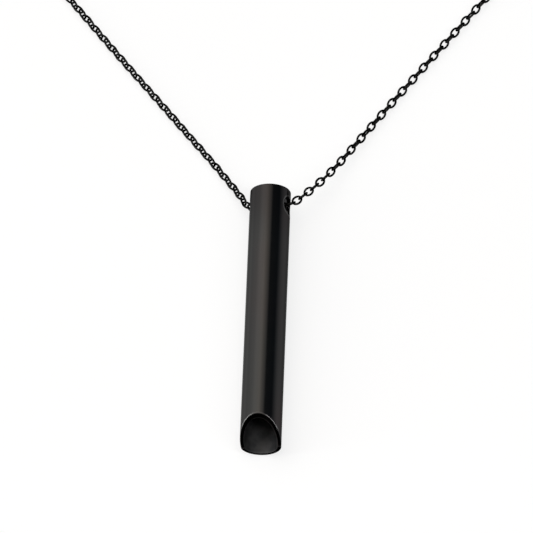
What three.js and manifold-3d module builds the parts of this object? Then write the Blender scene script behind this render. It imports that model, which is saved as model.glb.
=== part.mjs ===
// Tube whistle pendant on a fine cable-chain necklace, laid flat on a surface. Millimetres, +Z up.
// The origin is on the surface under the middle of the tube, whose axis runs along Y.
// The mouth end points to -Y, and both arms of the chain run to +Y, where each one is wound in a coil.
import * as THREE from 'three';
import { mergeVertices } from 'three/addons/utils/BufferGeometryUtils.js';
import Module from 'manifold-3d';

const wasm = await Module();
wasm.setup();

// ---- driving dimensions -----------------------------------------------------------------------
const TUBE_D = 8;                // outer diameter
const TUBE_WALL = 0.75;
const TUBE_L = 54.5;
const TUBE_SIDES = 72;
const TUBE_ROLL = 12;            // degrees that the tube lies turned, which tips the bevel to -X
const BEVEL_RISE = 1.143;        // slope of the mouth's slanting cut: length per unit of depth
const BEVEL_AT_AXIS = 0.77;      // height of that cut above the mouth end, on the tube's axis
const HOLE_D = 3.2;              // cross hole for the chain
const HOLE_Y = 23.65;
const HOLE_SKEW = 6;             // degrees that the hole is off square with the bevel
const HOLE_FLARE_AT = 3.45;      // distance from the axis where the rim starts to open at 45 degrees

const CHAIN_D = 1.8;             // width over the links of the necklace chain
const RUN_STEPS = 60;
const TAIL_STEPS = 6;
const FREE_GAP = 0.3;            // gap between touching pieces of the cord

const COIL_R = 9.5;              // middle of a coil's turns
const COIL_BAND = 5.5;           // three turns side by side
const COIL_HEIGHT = 3.4;         // two turns on each other
const COIL_ROUND = 0.8;
const LEFT_COIL = [-40, 86];
const RIGHT_COIL = [37.7, 88];

const LINK = { length: 2.56, width: 1.78, wire: 0.43 };      // one link of the necklace chain
const RING = { length: 4.4, width: 4.4, wire: 0.6 };         // jump ring
const EXTENDER = { length: 6.0, width: 4.2, wire: 0.9 };     // one link of the extender
const EXTENDER_LINKS = 7;
const LINK_PLAY = 0.12;          // clearance where two wires cross
const STRING_Z = 1.65;           // height of the extender's centre line

const CLASP_T = 2.6;             // clasp thickness
const CLASP_SLOT = 1.5;
const LEVER_T = 1.2;
const EYE_R = 1.1;
const EYE_SLACK = 0.15;          // how far the eye's centre lies inside the ring's far wire
const EYE_SIDE = -0.35;          // the ring leans, so it crosses the eye's plane to one side
const PIN_R = 0.35;
const PIN_CLEARANCE = 0.07;

// Centre line of each chain arm, from the middle of the tube to where it meets its coil.
const LEFT_ROUTE = [
  [-0.15, 23.72, 3.95], [-0.9, 23.72, 3.71], [-1.7, 23.72, 3.45], [-2.6, 23.83, 3.16], [-3.4, 24.13, 2.87],
  [-4.05, 24.6, 2.62], [-4.6, 25.2, 2.38], [-5.3, 26.25, 2.08], [-6.2, 27.7, 1.72], [-7.4, 29.4, 1.4],
  [-9.1, 31.65, 1.13], [-11.2, 34.35, 0.97], [-13.9, 37.6, 0.91], [-17.3, 41.6, 0.9], [-21.0, 46.0, 0.9],
  [-25.5, 51.3, 0.9], [-30.0, 56.6, 0.9], [-34.5, 62.0, 0.9], [-39.0, 67.45, 0.9], [-44.0, 73.4, 0.9],
];
const RIGHT_ROUTE = [
  [0.15, 23.75, 4.05], [0.9, 23.8, 4.3], [1.7, 23.87, 4.54], [2.5, 23.98, 4.76], [3.3, 24.14, 4.94],
  [4.0, 24.4, 5.02], [4.6, 24.75, 5.0], [5.2, 25.25, 4.88], [6.2, 26.3, 4.53], [7.3, 27.55, 4.1],
  [8.4, 28.8, 3.72], [9.45, 30.07, 3.38], [11.5, 32.75, 2.78], [13.5, 35.55, 2.26], [15.5, 38.5, 1.83],
  [17.5, 41.45, 1.46], [19.5, 44.35, 1.18], [21.5, 47.2, 1.0], [23.5, 50.0, 0.92], [27.2, 55.0, 0.9],
  [31.5, 60.8, 0.9], [36.0, 66.8, 0.9], [42.4, 75.35, 0.9],
];
// Centre line of each chain end, from its coil to its last link.
const LEFT_TAIL = [
  [-40.0, 99.4, 2.3], [-39.1, 100.4, 2.05], [-37.9, 101.15, 1.85], [-36.5, 101.5, 1.7], [-35.0, 101.5, 1.6],
];
const RIGHT_TAIL = [
  [24.5, 90.3, 2.3], [23.3, 89.6, 2.05], [21.9, 89.05, 1.85], [20.4, 88.8, 1.7], [18.9, 88.8, 1.65],
];

// ---- materials --------------------------------------------------------------------------------
const paint = (color, roughness, metalness) => new THREE.MeshStandardMaterial({ color, roughness, metalness });
const FINISH = {
  tube: () => paint(0x1d1b1c, 0.28, 0.9),
  chain: () => paint(0x161617, 0.4, 0.85),
  clasp: () => paint(0x1a1a1b, 0.35, 0.9),
  spring: () => paint(0x8c8c8e, 0.35, 1.0),
};

// ---- helpers ----------------------------------------------------------------------------------
const part = new THREE.Group();
const rad = THREE.MathUtils.degToRad;
const vec = (p) => new THREE.Vector3(...p);

function solid(geometry) {
  const bare = geometry.index ? geometry.toNonIndexed() : geometry.clone();
  bare.deleteAttribute('normal');
  bare.deleteAttribute('uv');
  const merged = mergeVertices(bare, 1e-4);
  const mesh = new wasm.Mesh({
    numProp: 3,
    vertProperties: new Float32Array(merged.attributes.position.array),
    triVerts: new Uint32Array(merged.index.array),
  });
  return new wasm.Manifold(mesh);
}

function geometryOf(body) {
  const mesh = body.getMesh();
  const geometry = new THREE.BufferGeometry();
  geometry.setAttribute('position', new THREE.BufferAttribute(new Float32Array(mesh.vertProperties), 3));
  geometry.setIndex(new THREE.BufferAttribute(new Uint32Array(mesh.triVerts), 1));
  return geometry;
}

function add(name, geometry, material, parent = part) {
  const mesh = new THREE.Mesh(geometry, material);
  mesh.name = name;
  parent.add(mesh);
  return mesh;
}

function cylinder(radius, length, sides = 24) {
  return new THREE.CylinderGeometry(radius, radius, length, sides);
}

// A closed wire loop in the XY plane, long in X: a torus whose halves are moved apart.
function loop({ length, width, wire }, around = 24, sides = 8) {
  const geometry = new THREE.TorusGeometry((width - wire) / 2, wire / 2, sides, around);
  const stretch = (length - width) / 2;
  const position = geometry.attributes.position;
  for (let i = 0; i < position.count; i += 1) {
    const x = position.getX(i);
    if (Math.abs(x) > 1e-4) position.setX(i, x + Math.sign(x) * stretch);
  }
  return geometry;
}

function cord(route, steps) {
  const section = new THREE.Shape();
  for (let k = 0; k < 8; k += 1) {
    const angle = (k + 0.5) * Math.PI / 4;
    const point = [Math.cos(angle) * CHAIN_D / 2, Math.sin(angle) * CHAIN_D / 2];
    if (k === 0) section.moveTo(...point);
    else section.lineTo(...point);
  }
  section.closePath();
  const path = new THREE.CatmullRomCurve3(route.map(vec));
  return new THREE.ExtrudeGeometry(section, { steps, extrudePath: path, bevelEnabled: false });
}

function plate(shape, thickness) {
  const geometry = new THREE.ExtrudeGeometry(shape, { depth: thickness, bevelEnabled: false, curveSegments: 32 });
  return geometry.translate(0, 0, -thickness / 2);
}

function disc(x, y, radius) {
  const shape = new THREE.Shape();
  shape.absarc(x, y, radius, 0, Math.PI * 2);
  return shape;
}

function oval(x, y, long, wide) {
  const shape = new THREE.Shape();
  shape.absellipse(x, y, long, wide, 0, Math.PI * 2);
  return shape;
}

function block(x0, x1, y0, y1, thickness) {
  const geometry = new THREE.BoxGeometry(x1 - x0, y1 - y0, thickness);
  return geometry.translate((x0 + x1) / 2, (y0 + y1) / 2, 0);
}

// ---- the tube ---------------------------------------------------------------------------------
function tube() {
  const outer = TUBE_D / 2;
  const inner = outer - TUBE_WALL;
  const end = TUBE_L / 2;
  const wall = [[inner, -end], [outer, -end], [outer, end], [inner, end], [inner, -end]];
  const shell = solid(new THREE.LatheGeometry(wall.map((p) => new THREE.Vector2(...p)), TUBE_SIDES));

  const slab = 30;
  const slant = Math.atan(BEVEL_RISE);
  const bevel = new THREE.BoxGeometry(slab, slab, slab).translate(0, -slab / 2, 0);
  bevel.rotateX(-slant);
  bevel.translate(0, BEVEL_AT_AXIS - end, 0);

  const reach = outer + 1;
  const radius = HOLE_D / 2;
  const flare = reach - HOLE_FLARE_AT;
  const drill = [[0, -reach], [radius + flare, -reach], [radius, -HOLE_FLARE_AT], [radius, HOLE_FLARE_AT],
    [radius + flare, reach], [0, reach]];
  const hole = new THREE.LatheGeometry(drill.map((p) => new THREE.Vector2(...p)), 32);
  hole.rotateZ(-Math.PI / 2);
  hole.rotateY(-rad(HOLE_SKEW));
  hole.translate(0, HOLE_Y, 0);

  const mesh = add('tube', geometryOf(shell.subtract(solid(bevel)).subtract(solid(hole))), FINISH.tube());
  mesh.position.set(0, 0, outer);
  mesh.rotation.y = -rad(TUBE_ROLL);
}

// ---- the necklace chain -----------------------------------------------------------------------
function coil(name, [x, y]) {
  const inside = COIL_R - COIL_BAND / 2;
  const outside = COIL_R + COIL_BAND / 2;
  const profile = [
    [inside + COIL_ROUND, 0], [outside - COIL_ROUND, 0], [outside, COIL_ROUND],
    [outside, COIL_HEIGHT - COIL_ROUND], [outside - COIL_ROUND, COIL_HEIGHT],
    [inside + COIL_ROUND, COIL_HEIGHT], [inside, COIL_HEIGHT - COIL_ROUND], [inside, COIL_ROUND],
    [inside + COIL_ROUND, 0],
  ];
  const ring = new THREE.LatheGeometry(profile.map((p) => new THREE.Vector2(...p)), 40);
  const mesh = add(name, ring, FINISH.chain());
  mesh.position.set(x, y, 0);
  mesh.rotation.x = Math.PI / 2;
}

function chain() {
  add('chain_left_run', cord(LEFT_ROUTE, RUN_STEPS), FINISH.chain());
  add('chain_right_run', cord(RIGHT_ROUTE, RUN_STEPS), FINISH.chain());
  coil('chain_left_coil', LEFT_COIL);
  coil('chain_right_coil', RIGHT_COIL);
  add('chain_left_tail', cord(LEFT_TAIL, TAIL_STEPS), FINISH.chain());
  add('chain_right_tail', cord(RIGHT_TAIL, TAIL_STEPS), FINISH.chain());
}

// ---- the ends: links, rings, extender and clasp -----------------------------------------------
// A string is a group whose +X runs on from a tail's last point, with its +Z up.
function string(tail) {
  const [x, y] = tail.at(-1);
  const before = tail.at(-2);
  const group = new THREE.Group();
  group.position.set(x, y, 0);
  group.rotation.z = Math.atan2(y - before[1], x - before[0]);
  part.add(group);
  return group;
}

// Hangs a wire loop on the one before it. at is the middle of the wire that it hangs on.
function hang(name, size, at, roll, height, group, side = 0) {
  const half = (size.length - size.wire) / 2;
  const mesh = add(name, loop(size), FINISH.chain(), group);
  mesh.position.set(at + half, side, height);
  mesh.rotation.x = rad(roll);
  return at + 2 * half;
}

const nextWire = (front, wire, next) => front - (wire + next) / 2 - LINK_PLAY;

function extender() {
  const group = string(RIGHT_TAIL);
  let front = hang('chain_right_end_link', LINK, FREE_GAP + LINK.wire / 2, -45, STRING_Z, group);
  front = hang('extender_ring', RING, nextWire(front, LINK.wire, RING.wire), 45, STRING_Z, group);
  let wire = RING.wire;
  for (let k = 1; k <= EXTENDER_LINKS; k += 1) {
    const at = nextWire(front, wire, EXTENDER.wire);
    front = hang(`extender_link_${k}`, EXTENDER, at, k % 2 ? -45 : 45, STRING_Z, group);
    wire = EXTENDER.wire;
  }
  const eye = { length: 2.6, width: 2.6, wire: 0.6 };
  const bead = 1.6;
  const eyeLoop = loop(eye, 20, 8).rotateX(rad(EXTENDER_LINKS % 2 ? 45 : -45));
  const centre = nextWire(front, wire, eye.wire) + (eye.length - eye.wire) / 2;
  const ball = new THREE.SphereGeometry(bead, 20, 14).scale(1.25, 1, 1).translate(eye.length / 2 + bead, 0, 0);
  const drop = solid(eyeLoop).add(solid(ball));
  add('extender_drop', geometryOf(drop), FINISH.chain(), group).position.set(centre, 0, STRING_Z);
}

function clasp() {
  const group = string(LEFT_TAIL);
  const ringRoll = 65;
  const ringZ = (RING.width - RING.wire) / 2 * Math.sin(rad(ringRoll)) + RING.wire / 2 + 0.02;
  const linkZ = 1.6;
  let front = hang('chain_left_end_link', LINK, FREE_GAP + LINK.wire / 2, ringRoll - 90, linkZ, group, -0.2);
  front = hang('clasp_ring', RING, nextWire(front, LINK.wire, RING.wire), ringRoll, ringZ, group);

  const body = new THREE.Group();
  body.position.set(front - EYE_SLACK, EYE_SIDE, CLASP_T / 2);
  group.add(body);

  const pivot = [2.6, -1.15];
  const outline = solid(plate(oval(5.8, 0, 4.9, 3.0), CLASP_T))
    .add(solid(plate(disc(0, 0, 1.8), CLASP_T * 0.45)))
    .add(solid(block(0.9, 2.5, -1.1, 1.1, CLASP_T * 0.8)))
    .add(solid(plate(disc(...pivot, 1.25), CLASP_T)));
  const mouth = solid(plate(oval(6.1, 0.05, 3.3, 1.75), CLASP_T + 1));
  const gate = solid(block(3.4, 8.3, -3.5, -0.6, CLASP_T + 1));
  const slot = solid(block(1.3, 8.3, -4, 0.35, CLASP_SLOT));
  const eye = solid(plate(disc(0, 0, EYE_R), CLASP_T + 1));
  const bore = solid(cylinder(PIN_R + PIN_CLEARANCE, CLASP_T + 1, 16).rotateX(Math.PI / 2)
    .translate(...pivot, 0));
  add('clasp_body', geometryOf(outline.subtract(mouth).subtract(gate).subtract(slot).subtract(eye).subtract(bore)),
    FINISH.clasp(), body);

  add('clasp_pin', cylinder(PIN_R, CLASP_T, 16).rotateX(Math.PI / 2).translate(...pivot, 0), FINISH.clasp(), body);

  const bar = solid(plate(oval(5.8, 0, 4.9, 3.0), LEVER_T))
    .intersect(solid(block(2.6, 8.05, -3.2, -0.85, LEVER_T + 1)))
    .subtract(solid(plate(oval(6.1, 0.05, 3.3, 1.75), LEVER_T + 1)));
  const hub = solid(plate(disc(...pivot, 1.0), LEVER_T));
  const tab = solid(block(2.7, 3.9, -3.7, -1.6, LEVER_T));
  const springPocket = solid(cylinder(0.85, 0.5, 24).rotateX(Math.PI / 2).translate(...pivot, LEVER_T / 2));
  const leverBore = solid(cylinder(PIN_R + PIN_CLEARANCE, LEVER_T + 1, 16).rotateX(Math.PI / 2)
    .translate(...pivot, 0));
  add('clasp_lever', geometryOf(bar.add(hub).add(tab).subtract(springPocket).subtract(leverBore)),
    FINISH.clasp(), body);

  const turn = new THREE.TorusGeometry(0.62, 0.11, 8, 24).translate(...pivot, LEVER_T / 2 - 0.1);
  add('clasp_spring', turn, FINISH.spring(), body);
}

tube();
chain();
extender();
clasp();

export default part;
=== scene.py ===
import math
import random

import bmesh
import bpy
from mathutils import Matrix, Vector


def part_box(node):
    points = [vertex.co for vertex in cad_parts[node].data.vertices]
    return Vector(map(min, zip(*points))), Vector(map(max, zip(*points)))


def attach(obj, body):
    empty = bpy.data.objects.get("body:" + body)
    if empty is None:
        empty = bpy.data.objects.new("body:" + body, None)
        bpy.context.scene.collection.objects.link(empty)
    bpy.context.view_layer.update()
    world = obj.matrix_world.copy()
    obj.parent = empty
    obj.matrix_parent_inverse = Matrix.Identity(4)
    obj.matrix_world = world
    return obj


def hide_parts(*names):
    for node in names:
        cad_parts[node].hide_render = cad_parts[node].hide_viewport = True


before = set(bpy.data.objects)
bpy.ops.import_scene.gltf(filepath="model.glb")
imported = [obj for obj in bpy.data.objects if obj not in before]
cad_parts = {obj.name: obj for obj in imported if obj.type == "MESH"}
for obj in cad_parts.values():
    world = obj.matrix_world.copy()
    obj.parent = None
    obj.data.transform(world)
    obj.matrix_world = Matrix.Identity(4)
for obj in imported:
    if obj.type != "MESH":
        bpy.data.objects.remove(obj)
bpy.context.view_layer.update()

MM = 0.001

# ---- driving dimensions, in millimetres as in the CAD source ------------------------------------
TUBE_R = 4.0
TUBE_BORE_R = 3.25
TUBE_L = 54.5
TUBE_ROLL = 12.0          # degrees; tips the slanting mouth to -X
BEVEL_RISE = 1.143        # of the mouth's cut, along the tube for each millimetre across it
BEVEL_AT_AXIS = 0.77      # how far the cut stands in from the end, at the tube's axis
BEVEL_SOFTENING = 0.25    # rounds the line where the slanting cut meets the square one
HOLE_R = 1.6
HOLE_FLARE = 0.5          # radius of the rounded rim of the cross hole
HOLE_Y = 23.65
HOLE_SKEW = 6.0           # degrees from the level, before the tube is rolled
HOLE_BURR = 0.1           # rounding of the cross hole's edge in the bore
EDGE_ROUND = 0.14         # radius of the tube's broken edges
FAR_ROUND = 0.22          # radius of the outer edge at the square end

LINK = (2.56, 1.78, 0.43)       # necklace link: length, width, wire
RING = (4.4, 4.4, 0.57)         # jump ring; CAD has 0.6 wire, and this clears the end link at its limits
RING_SPLIT = 0.012              # radians to each side of the cut in a jump ring
EXTENDER = (6.0, 4.2, 0.9)
EXTENDER_SQUARENESS = 2.3
EXTENDER_LINKS = 7
TAUT_PITCH = LINK[0] - 2 * LINK[2]
SLACK_PITCH = 1.405
LINK_SQUARENESS = 2.0           # 2 is an ellipse
LINK_SWAY = 3.0                 # degrees either way
LEFT_FIRST = 0.82               # distance of each arm's first link along its path
RIGHT_FIRST = 0.47
LEFT_ROLL = 114.0               # degrees that the links are rolled from the level where an arm begins
RIGHT_ROLL = 107.0
LEFT_ASKEW = 6.0                # degrees that slack links lie to one side and the other
TAUT_FROM = (78.0, 10.0)        # the left arm grows taut from this distance on, over this much
LANDING = (6.0, 10.0)           # the links come down onto the surface, in the same way
LAST_RISE = 8.0                 # and leave it again over this much, up to the end link
CLOSE_UP_FROM = 90.0            # the links beyond this distance close up a little, to end in step
FLOOR_Z = 0.9                   # height of the chain's centre line where it lies on the surface

COIL_RADII = (11.3, 9.5, 7.7)   # three turns side by side, and the fourth on top of the inner two
COIL_TOP = 1.5                  # rise from the lower turns onto the top one
COIL_STEPS = 60                 # points in a turn
LEFT_COIL = (-40.0, 86.0)
RIGHT_COIL = (37.7, 88.0)
LEFT_LEAVE = 140.0              # degrees round the coil where its end leaves it
RIGHT_LEAVE = 120.0

LEFT_ROUTE = [
    (-0.15, 23.72, 3.95), (-0.9, 23.72, 3.71), (-1.7, 23.72, 3.45), (-2.6, 23.83, 3.16),
    (-3.4, 24.13, 2.87), (-4.05, 24.6, 2.62), (-4.6, 25.2, 2.38), (-5.3, 26.25, 2.08),
    (-6.2, 27.7, 1.72), (-7.4, 29.4, 1.4), (-9.1, 31.65, 1.13), (-11.2, 34.35, 0.97),
    (-13.9, 37.6, 0.91), (-17.3, 41.6, 0.9), (-21.0, 46.0, 0.9), (-25.5, 51.3, 0.9),
    (-30.0, 56.6, 0.9), (-34.5, 62.0, 0.9), (-39.0, 67.45, 0.9), (-44.0, 73.4, 0.9),
]
RIGHT_ROUTE = [
    (0.15, 23.75, 4.05), (0.9, 23.8, 4.3), (1.7, 23.87, 4.54), (2.5, 23.98, 4.76), (3.3, 24.14, 4.94),
    (4.0, 24.4, 5.02), (4.6, 24.75, 5.0), (5.2, 25.25, 4.88), (6.2, 26.3, 4.53), (7.3, 27.55, 4.1),
    (8.4, 28.8, 3.72), (9.45, 30.07, 3.38), (11.5, 32.75, 2.78), (13.5, 35.55, 2.26), (15.5, 38.5, 1.83),
    (17.5, 41.45, 1.46), (19.5, 44.35, 1.18), (21.5, 47.2, 1.0), (23.5, 50.0, 0.92), (27.2, 55.0, 0.9),
    (31.5, 60.8, 0.9), (36.0, 66.8, 0.9), (42.4, 75.35, 0.9),
]
LEFT_TAIL = [
    (-40.0, 99.4, 2.3), (-39.1, 100.4, 2.05), (-37.9, 101.15, 1.85), (-36.5, 101.5, 1.7),
    (-35.0, 101.5, 1.6),
]
RIGHT_TAIL = [
    (24.5, 90.3, 2.3), (23.3, 89.6, 2.05), (21.9, 89.05, 1.85), (20.4, 88.8, 1.7), (18.9, 88.8, 1.65),
]


# ---- camera -----------------------------------------------------------------------------------
CAMERA_AZIMUTH = 2.07
CAMERA_ELEVATION = 63.8
CAMERA_DISTANCE = 0.9934
CAMERA_LENS = 347.3
AIM_RIGHT = 0.00018             # the aim, from the middle of the tube, across and up the view
AIM_UP = 0.00996


def make_camera():
    low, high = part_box("tube")
    middle = (Vector(low) + Vector(high)) / 2
    azimuth, elevation = math.radians(CAMERA_AZIMUTH), math.radians(CAMERA_ELEVATION)
    back = Vector((
        math.sin(azimuth) * math.cos(elevation),
        -math.cos(azimuth) * math.cos(elevation),
        math.sin(elevation),
    ))
    right = Vector((math.cos(azimuth), math.sin(azimuth), 0))
    up = back.cross(right)
    data = bpy.data.cameras.new("camera")
    data.lens = CAMERA_LENS
    data.sensor_width = 36
    data.clip_start = 0.05
    data.clip_end = 20
    camera = bpy.data.objects.new("camera", data)
    camera.location = middle + right * AIM_RIGHT + up * AIM_UP + back * CAMERA_DISTANCE
    camera.rotation_mode = "QUATERNION"
    camera.rotation_quaternion = (-back).to_track_quat("-Z", "Y")
    bpy.context.scene.collection.objects.link(camera)
    bpy.context.scene.camera = camera


# ---- curves -----------------------------------------------------------------------------------
def smooth(points, per_span=16):
    """Points close together on a centripetal Catmull-Rom curve through the given ones."""
    points = [Vector(p) for p in points]
    padded = [2 * points[0] - points[1], *points, 2 * points[-1] - points[-2]]
    out = []
    for k in range(1, len(padded) - 2):
        p0, p1, p2, p3 = padded[k - 1 : k + 3]
        t1 = (p1 - p0).length ** 0.5
        t2 = t1 + (p2 - p1).length ** 0.5
        t3 = t2 + (p3 - p2).length ** 0.5
        for i in range(per_span):
            t = t1 + (t2 - t1) * i / per_span
            a1 = p0 * ((t1 - t) / t1) + p1 * (t / t1)
            a2 = p1 * ((t2 - t) / (t2 - t1)) + p2 * ((t - t1) / (t2 - t1))
            a3 = p2 * ((t3 - t) / (t3 - t2)) + p3 * ((t - t2) / (t3 - t2))
            b1 = a1 * ((t2 - t) / t2) + a2 * (t / t2)
            b2 = a2 * ((t3 - t) / (t3 - t1)) + a3 * ((t - t1) / (t3 - t1))
            out.append(b1 * ((t2 - t) / (t2 - t1)) + b2 * ((t - t1) / (t2 - t1)))
    out.append(points[-1])
    return out


def ease(x):
    x = min(max(x, 0.0), 1.0)
    return x * x * (3 - 2 * x)


def stepped(value, *steps):
    """A function that starts at a value and changes gently at each (start, over, change) step."""
    def at(s):
        return value + sum(change * ease((s - start) / over) for start, over, change in steps)
    return at


def coil_turns(centre, start, leave, turn_way):
    """A round coil: three turns side by side from the outside in, then up onto them.

    start is the point that the chain comes from, leave the angle where it goes off, and turn_way is
    1 for anticlockwise and -1 for clockwise, seen from above.
    """
    centre, start = Vector((*centre, 0)), Vector((start[0], start[1], 0))
    outer, middle, inner = COIL_RADII
    radius_at = stepped(
        outer, (0.8, 0.2, middle - outer), (1.8, 0.2, inner - middle), (2.85, 0.15, (middle - inner) / 2),
    )
    height_at = stepped(FLOOR_Z, (2.7, 0.15, COIL_TOP))
    reach = start - centre
    bearing = math.atan2(reach.y, reach.x)
    first = bearing + turn_way * math.acos(outer / reach.length)
    whole = (turn_way * (math.radians(leave) - first)) % (2 * math.pi) / (2 * math.pi) + 3
    steps = int(whole * COIL_STEPS)
    points = []
    for i in range(1, steps + 1):
        turn = whole * i / steps
        radius = radius_at(turn)
        angle = first + turn_way * turn * 2 * math.pi
        points.append(Vector((
            centre.x + radius * math.cos(angle), centre.y + radius * math.sin(angle), height_at(turn),
        )))
    return points


def arm_path(route, coil_centre, leave, turn_way, tail):
    run = smooth(route)
    turns = coil_turns(coil_centre, route[-1], leave, turn_way)
    ends = smooth([turns[-2], turns[-1], *tail])
    return run + smooth([run[-1], *turns[2:-2:4]], 4)[1:] + ends


def lengths(path):
    run = [0.0]
    for a, b in zip(path, path[1:]):
        run.append(run[-1] + (b - a).length)
    return run


def at_length(path, run, s):
    """Point and direction at distance s along the path."""
    low, high = 0, len(run) - 1
    while high - low > 1:
        half = (low + high) // 2
        if run[half] <= s:
            low = half
        else:
            high = half
    span = run[high] - run[low] or 1e-9
    point = path[low].lerp(path[high], (s - run[low]) / span)
    before, after = path[max(low - 2, 0)], path[min(high + 2, len(path) - 1)]
    return point, (after - before).normalized()


# ---- mesh helpers -----------------------------------------------------------------------------
def new_object(name, vertices, faces, material):
    """A smooth piece from points in millimetres."""
    mesh = bpy.data.meshes.new(name)
    mesh.from_pydata([tuple(Vector(v) * MM) for v in vertices], [], faces)
    mesh.validate()
    mesh.update()
    mesh.polygons.foreach_set("use_smooth", [True] * len(mesh.polygons))
    mesh.materials.append(material)
    piece = bpy.data.objects.new(name, mesh)
    bpy.context.scene.collection.objects.link(piece)
    return piece


def stand_in(piece, body, slot, *nodes):
    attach(piece, body)
    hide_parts(*nodes)
    return piece


def joined(*parts):
    """Several (vertices, faces) as one."""
    vertices, faces = [], []
    for more, more_faces in parts:
        start = len(vertices)
        vertices += more
        faces += [tuple(start + i for i in face) for face in more_faces]
    return vertices, faces


def moved(part, turn, shift):
    vertices, faces = part
    return [turn @ Vector(v) + Vector(shift) for v in vertices], faces


def wire(points, radius, sides, closed):
    """A round wire along points that lie near each other, with rounded ends if it's open."""
    count = len(points)
    rings = []
    for i, point in enumerate(points):
        if closed:
            along = points[(i + 1) % count] - points[i - 1]
        else:
            along = points[min(i + 1, count - 1)] - points[max(i - 1, 0)]
        rings.append((point, along.normalized(), radius))
    if not closed:
        first, last = rings[0], rings[-1]
        chamfer = radius * 0.25
        rings[0] = (first[0] + first[1] * chamfer, first[1], radius)
        rings[-1] = (last[0] - last[1] * chamfer, last[1], radius)
        rings.insert(0, (first[0], first[1], radius - chamfer))
        rings.append((last[0], last[1], radius - chamfer))
    vertices, faces = [], []
    flat = Vector((0, 0, 1))
    for point, along, size in rings:
        side = flat.cross(along).normalized()
        top = along.cross(side)
        for k in range(sides):
            turn = 2 * math.pi * k / sides
            vertices.append(point + side * size * math.cos(turn) + top * size * math.sin(turn))
    total = len(rings)
    for i in range(total if closed else total - 1):
        for k in range(sides):
            after, beside = (i + 1) % total, (k + 1) % sides
            faces.append((i * sides + k, after * sides + k, after * sides + beside, i * sides + beside))
    if not closed:
        faces.append(tuple(range(sides)))
        faces.append(tuple((total - 1) * sides + k for k in reversed(range(sides))))
    return vertices, faces


def loop_mesh(size, around=28, sides=10, squareness=2.4, gap=0.0):
    """A wire loop in the XY plane, long in X. A gap leaves it open at one long side, as a jump ring is."""
    length, width, thick = size
    long, wide = (length - thick) / 2, (width - thick) / 2
    power = 2 / squareness
    points = []
    for i in range(around):
        if gap:
            angle = -math.pi / 2 + gap + (2 * math.pi - 2 * gap) * i / (around - 1)
        else:
            angle = 2 * math.pi * (i + 0.5) / around
        c, s = math.cos(angle), math.sin(angle)
        points.append(Vector((
            long * math.copysign(abs(c) ** power, c), wide * math.copysign(abs(s) ** power, s), 0,
        )))
    return wire(points, thick / 2, sides, closed=not gap)


def axes(direction, roll):
    """Rotation that takes X to the direction, with the XY plane rolled about it from the level."""
    across = Vector((0, 0, 1)).cross(direction).normalized()
    up = direction.cross(across)
    side = across * math.cos(roll) + up * math.sin(roll)
    return Matrix((direction, side, direction.cross(side))).transposed()


def lathe(profile, sides):
    """A solid turned about X from (x, radius) points; it closes on the axis at both ends."""
    vertices, faces = [], []
    for x, radius in profile:
        for k in range(sides):
            turn = 2 * math.pi * k / sides
            vertices.append(Vector((x, radius * math.cos(turn), radius * math.sin(turn))))
    for i in range(len(profile) - 1):
        for k in range(sides):
            beside = (k + 1) % sides
            faces.append((i * sides + k, i * sides + beside, (i + 1) * sides + beside, (i + 1) * sides + k))
    faces.append(tuple(reversed(range(sides))))
    faces.append(tuple((len(profile) - 1) * sides + k for k in range(sides)))
    return vertices, faces


# ---- the tube ---------------------------------------------------------------------------------
COLUMNS = 192
BLOCK = 22                # columns to each side of a cross hole that are laid round it in rings
BLOCK_HALF = 2.9          # half length of that block along the tube
BLOCK_ROWS = 24
CORNER_STEPS = 4
HOLE_STEPS = 8
BODY_FROM = -20.0         # the rows between the mouth and here follow the mouth's cut
BODY_ROWS = 16
SUPPORT = 0.12            # from the rounding of the square end to the row that holds it crisp


def mouth_y(radius, angle):
    """Where the mouth's cut meets a line along the tube: square below the axis, slanting above it."""
    rise = BEVEL_AT_AXIS + BEVEL_RISE * radius * math.sin(angle)
    softened = (rise + math.hypot(rise, BEVEL_SOFTENING)) / 2
    return softened - TUBE_L / 2


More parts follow.
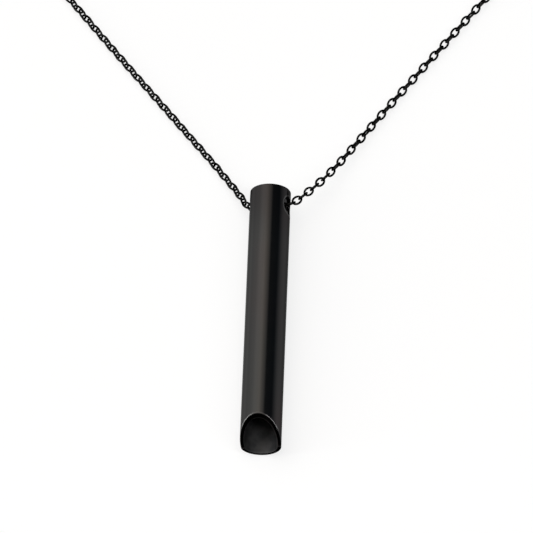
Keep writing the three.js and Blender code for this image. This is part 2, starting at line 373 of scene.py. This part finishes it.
def tube_stations():
    """The tube's wall section as a closed ring of stations, each one a function of the angle, with
    the first station of the block rows outside and inside, and the stations of the worn edge,
    whose lighter colour is partly wear and partly a painted highlight."""
    far = TUBE_L / 2
    corner = [math.radians(90 * i / CORNER_STEPS) for i in range(CORNER_STEPS + 1)]
    block_y = [HOLE_Y + BLOCK_HALF * (2 * i / BLOCK_ROWS - 1) for i in range(BLOCK_ROWS + 1)]
    body_y = [BODY_FROM + (block_y[0] - BODY_FROM) * i / BODY_ROWS for i in range(BODY_ROWS)]
    mouth_t = [0.02, 0.05, 0.1, 0.18, 0.3, 0.45, 0.6, 0.8]

    def near_mouth(radius, t):
        return lambda a: (radius, (mouth_y(radius, a) + EDGE_ROUND) * (1 - t) + BODY_FROM * t)

    def level(radius, y):
        return lambda a: (radius, y)

    def mouth_corner(radius, inward, turn):
        at = radius + inward * EDGE_ROUND * (1 - math.cos(turn))
        return lambda a: (at, mouth_y(at, a) + EDGE_ROUND * (1 - math.sin(turn)))

    def far_corner(radius, inward, turn, size):
        at = radius + inward * size * (1 - math.cos(turn))
        return level(at, far - size * (1 - math.sin(turn)))

    def mouth_face(t):
        radius = TUBE_BORE_R + EDGE_ROUND + (TUBE_R - TUBE_BORE_R - 2 * EDGE_ROUND) * t
        return lambda a: (radius, mouth_y(radius, a))

    support = far - FAR_ROUND - SUPPORT
    out = [mouth_corner(TUBE_R, -1, turn) for turn in reversed(corner)]
    # painted highlight: these mouth-edge rows get the lighter wear colour, which also stands for the edge's
    # highlight
    worn_and_highlit = set(range(len(out)))
    out += [near_mouth(TUBE_R, t) for t in mouth_t]
    out += [level(TUBE_R, y) for y in body_y]
    outside = len(out)
    out += [level(TUBE_R, y) for y in block_y]
    out += [level(TUBE_R, support)]
    out += [far_corner(TUBE_R, -1, turn, FAR_ROUND) for turn in corner]
    out += [level((TUBE_R + TUBE_BORE_R) / 2, far)]
    out += [far_corner(TUBE_BORE_R, 1, turn, EDGE_ROUND) for turn in reversed(corner)]
    out += [level(TUBE_BORE_R, support)]
    inside = len(out)
    out += [level(TUBE_BORE_R, y) for y in reversed(block_y)]
    out += [level(TUBE_BORE_R, y) for y in reversed(body_y)]
    out += [near_mouth(TUBE_BORE_R, t) for t in reversed(mouth_t)]
    out += [mouth_corner(TUBE_BORE_R, 1, turn) for turn in corner]
    out += [mouth_face(t) for t in (0.15, 0.5, 0.85)]
    return out, outside, inside, worn_and_highlit


def make_tube(material):
    stations, outside, inside, worn_and_highlit_rows = tube_stations()
    skew = math.radians(HOLE_SKEW)
    step = 2 * math.pi / COLUMNS
    vertices, faces, worn_and_highlit, painted_shade_rings = [], [], set(), set()
    for i, station in enumerate(stations):
        for j in range(COLUMNS):
            angle = skew + j * step
            radius, y = station(angle)
            vertices.append(Vector((radius * math.cos(angle), y, radius * math.sin(angle))))
            if i in worn_and_highlit_rows:
                worn_and_highlit.add(len(vertices) - 1)

    def at(row, column):
        return row * COLUMNS + column % COLUMNS

    def in_block(row, column):
        near_hole = (column + BLOCK) % (COLUMNS // 2) < 2 * BLOCK
        outer = outside <= row < outside + BLOCK_ROWS
        inner = inside <= row < inside + BLOCK_ROWS
        return near_hole and (outer or inner)

    for i in range(len(stations)):
        below = (i + 1) % len(stations)
        for j in range(COLUMNS):
            if not in_block(i, j):
                faces.append((at(i, j), at(i, j + 1), at(below, j + 1), at(below, j)))

    for middle in (0, COLUMNS // 2):
        edge = [(0, j) for j in range(-BLOCK, BLOCK)]
        edge += [(i, BLOCK) for i in range(BLOCK_ROWS)]
        edge += [(BLOCK_ROWS, j) for j in range(BLOCK, -BLOCK, -1)]
        edge += [(i, -BLOCK) for i in range(BLOCK_ROWS, 0, -1)]
        rings = [[at(outside + i, middle + j) for i, j in edge]]
        bearing = skew + middle * step
        outward = Vector((math.cos(bearing), 0, math.sin(bearing)))
        across = Vector((-math.sin(bearing), 0, math.cos(bearing)))

        def add_ring(place, marks=None):
            ring = []
            for i, j in edge:
                v = BLOCK_HALF * (2 * i / BLOCK_ROWS - 1)
                w, along, height = place(j * step, v)
                vertices.append(across * w + Vector((0, HOLE_Y + along, 0)) + outward * height)
                ring.append(len(vertices) - 1)
            if marks is not None:
                marks.update(ring)
            rings.append(ring)

        def on_wall(shell, rim, t):
            """On a shell of the tube, from the hole's rim at t = 0 to the block's edge at t = 1."""
            def place(turn, v):
                w = shell * math.sin(turn)
                round_hole = math.atan2(v, TUBE_R * math.sin(turn))
                w = w * t + rim * math.cos(round_hole) * (1 - t)
                v = v * t + rim * math.sin(round_hole) * (1 - t)
                return w, v, math.sqrt(shell * shell - w * w)
            return place

        def in_hole(radius, depth, shell):
            def place(turn, v):
                round_hole = math.atan2(v, TUBE_R * math.sin(turn))
                w = radius * math.cos(round_hole)
                return w, radius * math.sin(round_hole), math.sqrt(shell * shell - w * w) - depth
            return place

        rim = HOLE_R + HOLE_FLARE
        # painted highlight: the rim's outermost rings get the lighter wear colour, which also stands for
        # the rim's highlight
        for t in (0.8, 0.6, 0.42, 0.27, 0.15, 0.08, 0.0):
            add_ring(on_wall(TUBE_R, rim, t), worn_and_highlit if t < 0.1 else None)
        # painted shade: every ring of the rounded rim after the first is marked to be coloured near black
        for i in range(1, HOLE_STEPS + 1):
            turn = math.radians(90 * i / HOLE_STEPS)
            radius = HOLE_R + HOLE_FLARE * (1 - math.sin(turn))
            depth = HOLE_FLARE * (1 - math.cos(turn))
            add_ring(in_hole(radius, depth, TUBE_R), worn_and_highlit if i < 2 else painted_shade_rings)
        add_ring(in_hole(HOLE_R, -HOLE_BURR, TUBE_BORE_R))
        add_ring(in_hole(HOLE_R + HOLE_BURR * 0.3, -HOLE_BURR * 0.3, TUBE_BORE_R))
        for t in (0.0, 0.1, 0.3, 0.65):
            add_ring(on_wall(TUBE_BORE_R, HOLE_R + HOLE_BURR, t))
        rings.append([at(inside + BLOCK_ROWS - i, middle + j) for i, j in edge])
        count = len(edge)
        for ring, following in zip(rings, rings[1:]):
            for k in range(count):
                beside = (k + 1) % count
                faces.append((ring[k], following[k], following[beside], ring[beside]))

    turn = Matrix.Rotation(-math.radians(TUBE_ROLL), 3, "Y")
    vertices = [turn @ v + Vector((0, 0, TUBE_R)) for v in vertices]
    piece = new_object("whistle_tube", vertices, faces, material)
    tidy_normals(piece)
    bore_edge = TUBE_BORE_R + 0.02
    in_bore = {i for i, v in enumerate(vertices) if math.hypot(v.x, v.z - TUBE_R) < bore_edge}
    for name, marked in (("wear_and_highlight", worn_and_highlit), ("painted_recess_shade", painted_shade_rings), ("bore", in_bore)):
        attribute = piece.data.attributes.new(name, "FLOAT", "POINT")
        attribute.data.foreach_set("value", [float(i in marked) for i in range(len(vertices))])
    return stand_in(piece, "tube", "tube", "tube")


def tidy_normals(piece):
    work = bmesh.new()
    work.from_mesh(piece.data)
    bmesh.ops.recalc_face_normals(work, faces=work.faces)
    work.to_mesh(piece.data)
    work.free()


# ---- the necklace chain -----------------------------------------------------------------------
def chain_arm(name, path, join, first, rolls, turns, pitches, seed, material):
    """A cable chain along a path and on to the CAD node join, which threads its last link.

    Its first link lies at distance first. By distance along the path, rolls gives the links' roll and
    turns how far they lie askew, every other one the other way, both in degrees, and pitches the
    distance to the next one.
    """
    draw = random.Random(seed)
    path = [*path, centre_of(join)]
    run = lengths(path)
    goal = run[-1] - TAUT_PITCH
    down_from, down_over = LANDING
    places = [first]
    while places[-1] < goal or len(places) % 2:
        places.append(places[-1] + pitches(places[-1]))
    reach = places[-1]
    shape = loop_mesh(LINK, squareness=LINK_SQUARENESS)
    links = []
    for k, s in enumerate(places):
        s -= (reach - goal) * ease((s - CLOSE_UP_FROM) / (reach - CLOSE_UP_FROM))
        point, direction = at_length(path, run, s)
        askew = math.radians(turns(s)) * (1 if k % 2 else -1)
        direction = Matrix.Rotation(askew, 3, "Z") @ direction
        roll = math.radians(rolls(s) + 90 * (k % 2) + draw.uniform(-LINK_SWAY, LINK_SWAY))
        lying = ease((s - down_from) / down_over) * ease((goal - s) / LAST_RISE)
        drop = Vector((0, 0, (FLOOR_Z - resting_height(math.radians(rolls(s)))) * lying))
        links.append(moved(shape, axes(direction, roll), point - drop))
    return new_object(name, *joined(*links), material), [p * MM for p in path], run[-1] * MM


def resting_height(roll):
    """How high the middle of the chain lies when every other link is rolled by this angle."""
    lean = max(abs(math.sin(roll)), abs(math.cos(roll)))
    return LINK[2] / 2 + (LINK[1] - LINK[2]) / 2 * lean


def make_chain(material):
    left_path = arm_path(LEFT_ROUTE, LEFT_COIL, LEFT_LEAVE, -1, LEFT_TAIL)
    right_path = arm_path(RIGHT_ROUTE, RIGHT_COIL, RIGHT_LEAVE, 1, RIGHT_TAIL)
    left = chain_arm(
        "necklace_chain_left", left_path, "chain_left_end_link", LEFT_FIRST,
        rolls=stepped(LEFT_ROLL, (*TAUT_FROM, 21)),
        turns=stepped(LEFT_ASKEW, (*TAUT_FROM, -LEFT_ASKEW)),
        pitches=stepped(SLACK_PITCH, (*TAUT_FROM, TAUT_PITCH - SLACK_PITCH)),
        seed=7, material=material,
    )
    right = chain_arm(
        "necklace_chain_right", right_path, "chain_right_end_link", RIGHT_FIRST,
        rolls=stepped(RIGHT_ROLL, (12, 5, 18), (82, 20, 10)),
        turns=stepped(0),
        pitches=stepped(TAUT_PITCH),
        seed=11, material=material,
    )
    stand_in(left[0], "chain", "chain", "chain_left_run", "chain_left_coil", "chain_left_tail")
    stand_in(right[0], "chain", "chain", "chain_right_run", "chain_right_coil", "chain_right_tail")
    return left, right


# ---- the ends: rings, extender and clasp ------------------------------------------------------
def centre_of(node):
    low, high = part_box(node)
    return (Vector(low) + Vector(high)) / 2 / MM


def heading(tail):
    along = Vector(tail[-1]) - Vector(tail[-2])
    return Vector((along.x, along.y, 0)).normalized()


def hang(node, name, body, shape, tail, roll, material):
    """A loop in the place of a CAD node, in line with the chain's end."""
    turn = axes(heading(tail), math.radians(roll))
    piece = new_object(name, *moved(shape, turn, centre_of(node)), material)
    return stand_in(piece, body, "chain", node)


def end_link():
    """The chain's last link: straight sides and round ends, so that the ring in it has room to turn."""
    vertices, faces = loop_mesh((LINK[1], LINK[1], LINK[2]), around=48, sides=14, squareness=2)
    stretch = (LINK[0] - LINK[1]) / 2
    return [v + Vector((math.copysign(stretch, v.x), 0, 0)) for v in vertices], faces


def jump_ring():
    return loop_mesh(RING, around=56, sides=18, squareness=2, gap=RING_SPLIT)


def make_extender(material):
    def hung(node, name, body, shape, roll):
        return hang(node, name, body, shape, RIGHT_TAIL, roll, material)

    link = loop_mesh(EXTENDER, around=56, sides=18, squareness=EXTENDER_SQUARENESS)
    pieces = [
        hung("chain_right_end_link", "end_link_right", "chain", end_link(), -45),
        hung("extender_ring", "jump_ring_extender", "extender_ring", jump_ring(), 45),
    ]
    for k in range(1, EXTENDER_LINKS + 1):
        body = f"extender_link_{k}"
        pieces.append(hung(body, f"extension_link_{k}", body, link, -45 if k % 2 else 45))
    return [*pieces, make_drop(material)]


def make_drop(material):
    """The extender's end: a small eye, a collar and a drop-shaped bead in one piece."""
    eye = (2.6, 2.6, 0.6)
    direction = heading(RIGHT_TAIL)
    low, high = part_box("extender_drop")
    reach = (Vector(high) - Vector(low)).dot(Vector((abs(direction.x), abs(direction.y), 0))) / MM
    start = centre_of("extender_drop") - direction * (reach / 2 - eye[0] / 2)
    bead_length = reach - eye[0]
    bead_r = 1.6
    profile = [(0.95, 0.02), (0.97, 0.42), (1.2, 0.5), (1.34, 0.46), (1.42, 0.5), (1.5, 0.66)]
    tip = eye[0] / 2 + bead_length
    for i in range(1, 20):
        t = i / 20
        radius = bead_r * math.sin(math.pi * t ** 0.8) ** 0.62
        x = 1.5 + (tip - 1.5) * t
        if radius > 0.66:
            profile.append((x, radius))
    profile += [(tip - 0.12, 0.5), (tip - 0.03, 0.28), (tip, 0.02)]
    bead = lathe(profile, 40)
    turn = axes(direction, math.radians(45))
    shape = joined(loop_mesh(eye, around=44, sides=16, squareness=2), bead)
    piece = new_object("extension_drop", *moved(shape, turn, start), material)
    return stand_in(piece, "extender_drop", "chain", "extender_drop")


def cast_copy(node, name, body, slot, voxel, rounds, material):
    """A finely rounded copy of a CAD node, as a casting is after tumbling."""
    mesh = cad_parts[node].data.copy()
    mesh.name = name
    middle = centre_of(node)
    mesh.transform(Matrix.Translation(-middle) @ Matrix.Scale(1 / MM, 4))
    piece = bpy.data.objects.new(name, mesh)
    bpy.context.scene.collection.objects.link(piece)
    remesh = piece.modifiers.new("remesh", "REMESH")
    remesh.mode = "VOXEL"
    remesh.voxel_size = voxel
    soften = piece.modifiers.new("soften", "SMOOTH")
    soften.factor = 0.5
    soften.iterations = rounds
    ready = piece.evaluated_get(bpy.context.evaluated_depsgraph_get())
    smooth_mesh = bpy.data.meshes.new_from_object(ready)
    piece.modifiers.clear()
    piece.data = smooth_mesh
    smooth_mesh.transform(Matrix.Scale(MM, 4) @ Matrix.Translation(middle))
    smooth_mesh.polygons.foreach_set("use_smooth", [True] * len(smooth_mesh.polygons))
    smooth_mesh.materials.clear()
    smooth_mesh.materials.append(material)
    return stand_in(piece, body, slot, node)


def make_clasp(chain_material, clasp_material, spring_material):
    return [
        hang("chain_left_end_link", "end_link_left", "chain", end_link(), LEFT_TAIL, -25, chain_material),
        hang("clasp_ring", "jump_ring_clasp", "clasp_ring", jump_ring(), LEFT_TAIL, 65, chain_material),
        cast_copy("clasp_body", "lobster_body", "clasp", "clasp", 0.08, 7, clasp_material),
        cast_copy("clasp_lever", "lobster_lever", "clasp_lever", "clasp", 0.06, 5, clasp_material),
        make_pin(clasp_material),
        make_spring(spring_material),
    ]


def make_pin(material):
    """The lever's pin, with a low dome on each end."""
    low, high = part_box("clasp_pin")
    half, radius = (high.z - low.z) / 2 / MM, (high.x - low.x) / 2 / MM
    dome = [(0.0, 0.02), (0.01, radius * 0.5), (0.05, radius * 0.86), (0.14, radius * 0.98)]
    profile = [(depth - half, r) for depth, r in dome]
    profile += [(half - depth, r) for depth, r in reversed(dome)]
    upright = Matrix.Rotation(math.radians(90), 3, "Y")
    shape = moved(lathe(profile, 32), upright, centre_of("clasp_pin"))
    return stand_in(new_object("lobster_pin", *shape, material), "clasp", "clasp", "clasp_pin")


def make_spring(material):
    """The lever's coil spring, with its last quarter turn drawn in."""
    low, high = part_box("clasp_spring")
    middle = centre_of("clasp_spring")
    coil_wire = 0.085
    outer = (high.x - low.x) / 2 / MM - coil_wire
    turns, steps = 2.2, 88
    points = []
    for i in range(steps + 1):
        turn = turns * i / steps
        radius = outer - 0.16 * ease((turn - turns + 0.25) / 0.25)
        rise = 2 * coil_wire * 1.04 * (turn - turns / 2) - 0.02
        angle = 2 * math.pi * turn
        points.append(middle + Vector((radius * math.cos(angle), radius * math.sin(angle), rise)))
    piece = new_object("lobster_spring", *wire(points, coil_wire, 12, closed=False), material)
    return stand_in(piece, "clasp", "spring", "clasp_spring")


# ---- materials --------------------------------------------------------------------------------
class Nodes:
    """A short way to add and link shader nodes."""

    def __init__(self, tree):
        self.tree = tree

    def add(self, kind, inputs=None, **settings):
        node = self.tree.nodes.new(kind)
        for key, value in settings.items():
            setattr(node, key, value)
        for key, value in (inputs or {}).items():
            self.give(node.inputs[key], value)
        return node

    def give(self, socket, value):
        if isinstance(value, bpy.types.NodeSocket):
            self.tree.links.new(value, socket)
        else:
            socket.default_value = value

    def math(self, operation, a, b):
        return self.add("ShaderNodeMath", {0: a, 1: b}, operation=operation).outputs[0]

    def remap(self, value, low, high, to_low, to_high, kind="SMOOTHSTEP"):
        node = self.add("ShaderNodeMapRange", {
            "Value": value, "From Min": low, "From Max": high, "To Min": to_low, "To Max": to_high,
        }, interpolation_type=kind)
        return node.outputs[0]

    def mix(self, factor, a, b, blend="MIX"):
        node = self.add("ShaderNodeMix", data_type="RGBA", blend_type=blend)
        self.give(node.inputs["Factor"], factor)
        self.give(node.inputs[6], a)
        self.give(node.inputs[7], b)
        return node.outputs[2]

    def noise(self, where, scale, detail=3.0, stretch=(1, 1, 1)):
        place = self.add("ShaderNodeMapping", {"Vector": where, "Scale": stretch}).outputs[0]
        node = self.add("ShaderNodeTexNoise", {"Vector": place, "Scale": scale, "Detail": detail})
        return node.outputs["Fac"]

    def ramp(self, factor, stops):
        node = self.add("ShaderNodeValToRGB", {"Fac": factor})
        elements = node.color_ramp.elements
        while len(elements) < len(stops):
            elements.new(0.5)
        for element, (position, colour) in zip(elements, stops):
            element.position = position
            element.color = (*colour, 1)
        return node.outputs["Color"]


def metal(name, edge_tint):
    material = bpy.data.materials.new(name)
    material.use_nodes = True
    nodes = Nodes(material.node_tree)
    shader = material.node_tree.nodes["Principled BSDF"]
    shader.inputs["Metallic"].default_value = 1
    shader.inputs["Specular Tint"].default_value = (edge_tint, edge_tint, edge_tint, 1)
    where = nodes.add("ShaderNodeTexCoord").outputs["Object"]
    return material, nodes, shader, where


def tube_steel():
    """Black-plated steel: satin, drawn lengthwise, faintly tinted in patches, lighter at the edges with
    wear and a painted highlight, with painted shade in the cross hole's rim and towards the far end.
    """
    material, nodes, shader, where = metal("black_plated_tube", 0.45)
    patches = nodes.noise(where, 70, 2, (1, 0.35, 1))
    hue = nodes.ramp(patches, [
        (0.3, (0.066, 0.069, 0.066)), (0.48, (0.07, 0.069, 0.068)), (0.62, (0.078, 0.068, 0.067)),
        (0.75, (0.071, 0.07, 0.071)),
    ])
    streaks = nodes.noise(where, 1500, 3, (1, 0.02, 1))
    hue = nodes.mix(nodes.remap(streaks, 0.3, 0.7, 0.0, 0.16), hue, (0.045, 0.045, 0.046, 1))
    # painted shade: the colour darkens towards the tube's far end
    length = nodes.add("ShaderNodeSeparateXYZ", {0: where}).outputs["Y"]
    hue = nodes.mix(nodes.remap(length, 0.014, 0.0255, 0, 0.5), hue, (0.035, 0.035, 0.036, 1))
    # painted highlight: the marked edges take a lighter colour, partly wear and partly standing in for the
    # edge's highlight
    wear_and_highlight = nodes.add("ShaderNodeAttribute", attribute_name="wear_and_highlight").outputs["Fac"]
    broken = nodes.remap(nodes.noise(where, 900, 3), 0.35, 0.6, 0.45, 1)
    worn_and_highlit = nodes.math("MULTIPLY", wear_and_highlight, broken)
    hue = nodes.mix(worn_and_highlit, hue, (0.15, 0.149, 0.148, 1))
    # painted shade: the cross hole's rounded rim is darkened to near black where it turns into the hole
    painted_recess_shade = nodes.add("ShaderNodeAttribute", attribute_name="painted_recess_shade").outputs["Fac"]
    hue = nodes.mix(nodes.math("MULTIPLY", painted_recess_shade, 0.85), hue, (0.012, 0.012, 0.013, 1))
    bore = nodes.add("ShaderNodeAttribute", attribute_name="bore").outputs["Fac"]
    soot = nodes.remap(nodes.noise(where, 600, 4), 0.35, 0.65, 0, 1)
    inner = nodes.mix(soot, (0.085, 0.087, 0.09, 1), (0.12, 0.12, 0.122, 1))
    nodes.give(shader.inputs["Base Color"], nodes.mix(bore, hue, inner))
    rough = nodes.remap(streaks, 0.25, 0.75, 0.11, 0.17)
    scuffs = nodes.remap(nodes.noise(where, 420, 5), 0.5, 0.75, 0, 0.05)
    polished = nodes.math("ADD", rough, scuffs)
    nodes.give(shader.inputs["Roughness"], nodes.remap(bore, 0, 1, polished, 0.6, "LINEAR"))
    ripple = nodes.noise(where, 330, 2, (1, 0.3, 1))
    grain = nodes.math("MULTIPLY", nodes.noise(where, 4200, 2, (1, 0.08, 1)), 0.05)
    bump = nodes.add("ShaderNodeBump", {
        "Strength": 0.10, "Distance": 0.0001, "Height": nodes.math("ADD", ripple, grain),
    })
    nodes.give(shader.inputs["Normal"], bump.outputs[0])
    return material


def chain_steel(name="black_plated_chain", level=0.02, roughness=0.22):
    """Black-plated wire, a little polished where links rub."""
    material, nodes, shader, where = metal(name, 0.15)
    cloud = nodes.noise(where, 900, 4)
    dark = (level * 0.75, level * 0.75, level * 0.77, 1)
    light = (level * 1.35, level * 1.33, level * 1.3, 1)
    nodes.give(shader.inputs["Base Color"], nodes.mix(nodes.remap(cloud, 0.35, 0.65, 0, 1), dark, light))
    rub = nodes.noise(where, 2600, 3)
    nodes.give(shader.inputs["Roughness"], nodes.remap(rub, 0.3, 0.7, roughness - 0.06, roughness + 0.1))
    bump = nodes.add("ShaderNodeBump", {
        "Strength": 0.15, "Distance": 0.00005, "Height": nodes.noise(where, 3500, 3),
    })
    nodes.give(shader.inputs["Normal"], bump.outputs[0])
    return material


def spring_steel():
    """Bare spring wire, drawn bright."""
    material, nodes, shader, where = metal("bright_spring_wire", 0.9)
    cloud = nodes.noise(where, 3000, 3)
    nodes.give(shader.inputs["Base Color"], nodes.mix(cloud, (0.42, 0.42, 0.43, 1), (0.56, 0.555, 0.54, 1)))
    nodes.give(shader.inputs["Roughness"], nodes.remap(cloud, 0.3, 0.7, 0.22, 0.34))
    return material


# ---- studio -----------------------------------------------------------------------------------
# The surrounding light, round the Y axis: degrees from overhead, negative to the left; level; warmth.
SURROUND = [
    (-180, 1.02, 0.0), (-112, 0.98, 0.0), (-96, 0.74, 0.0), (-62, 0.8, 0.01), (-42, 1.08, 0.03),
    (-20, 1.1, 0.07), (-6, 0.68, 0.08), (6, 0.42, 0.04), (15, 0.07, -0.1), (56, 0.055, -0.2),
    (68, 0.2, -0.08), (84, 0.42, -0.02), (116, 0.56, -0.02), (150, 0.5, 0.0), (180, 0.5, 0.0),
]
TABLE_HALF = 4.0          # metres


def make_world():
    world = bpy.data.worlds.new("studio")
    bpy.context.scene.world = world
    world.use_nodes = True
    world.node_tree.nodes.clear()
    nodes = Nodes(world.node_tree)
    direction = nodes.add("ShaderNodeTexCoord").outputs["Generated"]
    parts = nodes.add("ShaderNodeSeparateXYZ", {0: direction})
    angle = nodes.math("ARCTAN2", parts.outputs["X"], parts.outputs["Z"])
    turn = nodes.math("ADD", nodes.math("MULTIPLY", angle, 1 / (2 * math.pi)), 0.5)
    stops = [
        (degrees / 360 + 0.5, (level * (1 + warmth), level, level * (1 - warmth)))
        for degrees, level, warmth in SURROUND
    ]
    around = nodes.ramp(turn, stops)

    def toward(x, y, z, near, far):
        """A flag in one direction, from 0 to 1; near and far are cosines of the angle away from it."""
        way = Vector((x, y, z)).normalized()
        dot = nodes.add("ShaderNodeVectorMath", {0: direction, 1: way}, operation="DOT_PRODUCT")
        return nodes.remap(dot.outputs["Value"], far, near, 1, 0)

    front_flag = toward(-0.28, -0.84, 0.48, 0.97, 0.88)
    low_flag = toward(0, -0.62, -0.78, 0.85, 0.6)
    back_flag = toward(0, 1, 0.08, 0.96, 0.88)
    shade = nodes.math("MULTIPLY", nodes.math("MULTIPLY", front_flag, low_flag), back_flag)
    front = nodes.remap(parts.outputs["Y"], -0.05, 0.3, 0.5, 1)
    level = nodes.math("MULTIPLY", shade, front)
    grey = nodes.add("ShaderNodeCombineColor", {0: level, 1: level, 2: level}).outputs[0]
    lit = nodes.mix(1.0, around, grey, "MULTIPLY")
    surround = nodes.add("ShaderNodeBackground", {"Color": lit})
    backdrop = nodes.add("ShaderNodeBackground", {"Color": (0.97, 0.97, 0.97, 1)})
    seen = nodes.add("ShaderNodeLightPath").outputs["Is Camera Ray"]
    mixed = nodes.add("ShaderNodeMixShader", {0: seen, 1: surround.outputs[0], 2: backdrop.outputs[0]})
    nodes.add("ShaderNodeOutputWorld", {"Surface": mixed.outputs[0]})


def softbox(name, direction, distance, size, power, glossy=True):
    """A rectangular light facing the object from a direction; its first side runs round the Y axis."""
    data = bpy.data.lights.new(name, "AREA")
    data.shape = "RECTANGLE"
    data.size, data.size_y = size
    data.energy = power
    light = bpy.data.objects.new(name, data)
    away = Vector(direction).normalized()
    across = Vector((0, 1, 0)).cross(away).normalized()
    light.location = away * distance
    light.rotation_mode = "QUATERNION"
    light.rotation_quaternion = Matrix((across, away.cross(across), away)).transposed().to_quaternion()
    light.visible_glossy = glossy
    light.visible_camera = False
    bpy.context.scene.collection.objects.link(light)


def make_studio():
    make_world()
    softbox("front_right_strip", (0.48, -0.30, 0.80), 0.9, (0.80, 0.16), 2.4)
    softbox("front_left_strip", (-0.89, -0.20, 0.42), 0.9, (0.66, 0.16), 2.0)
    softbox("overhead_box", (-0.2, 0.35, 1), 1.4, (1.6, 1.6), 8, glossy=False)
    half = TABLE_HALF / MM
    corners = [(x * half, y * half, 0) for x, y in ((-1, -1), (1, -1), (1, 1), (-1, 1))]
    floor = new_object("light_table", corners, [(0, 1, 2, 3)], table_top())
    floor.visible_glossy = False


def table_top():
    """White acrylic lit evenly from below, so that things on it throw only a faint shade."""
    material = bpy.data.materials.new("white_light_table")
    material.use_nodes = True
    nodes = Nodes(material.node_tree)
    shader = material.node_tree.nodes["Principled BSDF"]
    where = nodes.add("ShaderNodeTexCoord").outputs["Object"]
    cloud = nodes.noise(where, 9, 3)
    nodes.give(shader.inputs["Base Color"], nodes.mix(cloud, (0.25, 0.25, 0.25, 1), (0.27, 0.27, 0.27, 1)))
    shader.inputs["Roughness"].default_value = 0.9
    shader.inputs["Specular IOR Level"].default_value = 0.1
    shader.inputs["Emission Color"].default_value = (1, 1, 1, 1)
    shader.inputs["Emission Strength"].default_value = 0.76
    return material


# ---- the scene --------------------------------------------------------------------------------
make_camera()
chain_metal = chain_steel()
clasp_metal = chain_steel("black_plated_clasp", 0.06, 0.18)
left, right = make_chain(chain_metal)
extender = make_extender(chain_metal)
clasp = make_clasp(chain_metal, clasp_metal, spring_steel())
make_tube(tube_steel())

make_studio()
bpy.context.scene.view_settings.view_transform = "Standard"
